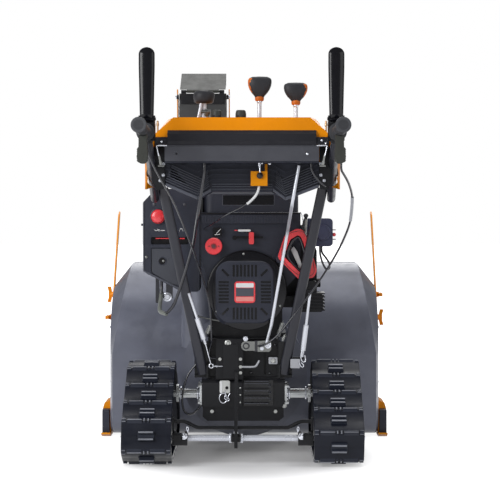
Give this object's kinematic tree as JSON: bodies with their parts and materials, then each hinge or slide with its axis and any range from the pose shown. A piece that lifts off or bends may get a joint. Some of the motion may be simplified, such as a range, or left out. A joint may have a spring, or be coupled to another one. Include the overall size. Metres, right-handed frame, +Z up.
{
  "type": "tracked snow blower",
  "caption": "Walk-behind two-stage snow blower on rubber tracks, with an open auger housing, a turning chute, an engine and a handle console.",
  "frame": {"origin": "on the floor under the drive axle, midway between the tracks and midway along the machine", "axes": "+Y the way it drives, +X its right side, +Z up"},
  "size_m": [0.94, 1.5676, 1.1917],
  "materials": {
    "black_steel": "black powder coat",
    "cable_black": "black cable sheath",
    "cast_metal": "painted casting",
    "chrome": "bright chrome plate",
    "deflector_paint": "grey-green sheet",
    "engine_plastic": "black moulded plastic",
    "gloss_black": "gloss black plastic",
    "grip_rubber": "soft grip rubber",
    "housing_paint": "charcoal metallic paint",
    "knob_plastic": "dark grey knob plastic",
    "lamp_lens": "clear lamp lens",
    "orange_paint": "orange powder coat",
    "orange_plastic": "orange moulded plastic",
    "panel_grey": "grey sheet steel",
    "red_plastic": "red moulded plastic",
    "track_rubber": "moulded black rubber",
    "zinc": "yellow zinc plate"
  },
  "bodies": {
    "chassis": {"auger_bearings": "zinc", "auger_housing": "housing_paint", "axle": "zinc", "belt_cover": "engine_plastic", "cables": "cable_black", "case_bolts": "zinc", "case_pan": "black_steel", "console_band": "gloss_black", "console_brackets": "black_steel", "console_cover": "orange_plastic", "console_panel": "panel_grey", "console_tray": "engine_plastic", "control_rods": "chrome", "cutter_knobs": "orange_plastic", "drift_cutters": "orange_paint", "electric_starter": "engine_plastic", "engine_block": "cast_metal", "engine_deck": "black_steel", "engine_shroud": "engine_plastic", "frame_brackets": "black_steel", "fuel_tank": "engine_plastic", "gearcase": "cast_metal", "grip_clamps": "black_steel", "grips": "grip_rubber", "headlamp": "lamp_lens", "hose_bracket": "orange_paint", "impeller_drum": "housing_paint", "intake_box": "engine_plastic", "lever_knobs": "knob_plastic", "louvre_cover": "engine_plastic", "lower_bars": "black_steel", "muffler": "cast_metal", "pull_handle": "red_plastic", "recoil_cover": "engine_plastic", "red_controls": "red_plastic", "scraper_bar": "black_steel", "shift_arm": "zinc", "skid_brackets": "orange_paint", "skid_pads": "engine_plastic", "transmission_case": "black_steel", "triggers": "engine_plastic", "upper_tubes": "black_steel"},
    "undercarriage": {"track_right": "track_rubber", "track_left": "track_rubber", "track_frames": "black_steel", "idlers": "knob_plastic", "sprockets": "knob_plastic", "cross_rod": "chrome", "rod_brackets": "black_steel", "link_bars": "black_steel"},
    "auger": {"auger_shaft": "zinc", "auger_flights": "orange_paint"},
    "impeller": {"impeller": "orange_paint"},
    "chute": {"chute_body": "housing_paint", "chute_edges": "orange_plastic", "chute_hinge": "black_steel"},
    "deflector": {"deflector": "deflector_paint"},
    "right_paddle": {"right_paddle": "gloss_black"},
    "left_paddle": {"left_paddle": "gloss_black"}
  },
  "joints": [
    {"name": "track_tilt", "type": "hinge", "parent": "chassis", "child": "undercarriage", "pos_m": [0, 0, 0.187], "axis": [1, 0, 0], "range_deg": [-8, 3]},
    {"name": "impeller_spin", "type": "hinge", "parent": "chassis", "child": "impeller", "pos_m": [0, 0.27, 0.225], "axis": [0, 1, 0], "continuous": true},
    {"name": "auger_spin", "type": "hinge", "parent": "chassis", "child": "auger", "pos_m": [0, 0.6, 0.225], "axis": [1, 0, 0], "continuous": true},
    {"name": "chute_swivel", "type": "hinge", "parent": "chassis", "child": "chute", "pos_m": [-0.132, 0.284, 0.6], "axis": [0, 0, 1], "range_deg": [-100, 100]},
    {"name": "deflector_tilt", "type": "hinge", "parent": "chute", "child": "deflector", "pos_m": [-0.132, 0.253, 1.124], "axis": [1, 0, 0], "range_deg": [-12, 50]},
    {"name": "right_paddle_press", "type": "hinge", "parent": "chassis", "child": "right_paddle", "pos_m": [0.252, -0.62, 0.988], "axis": [1, 0, 0], "range_deg": [0, 78], "stiffness_Nm_per_rad": 1.5, "springref_deg": -8.59},
    {"name": "left_paddle_press", "type": "hinge", "parent": "chassis", "child": "left_paddle", "pos_m": [-0.252, -0.62, 0.988], "axis": [1, 0, 0], "range_deg": [0, 78], "stiffness_Nm_per_rad": 1.5, "springref_deg": -8.59}
  ],
  "couplings": [
    {"joint": "auger_spin", "follows": "impeller_spin", "ratio": 0.1}
  ]
}
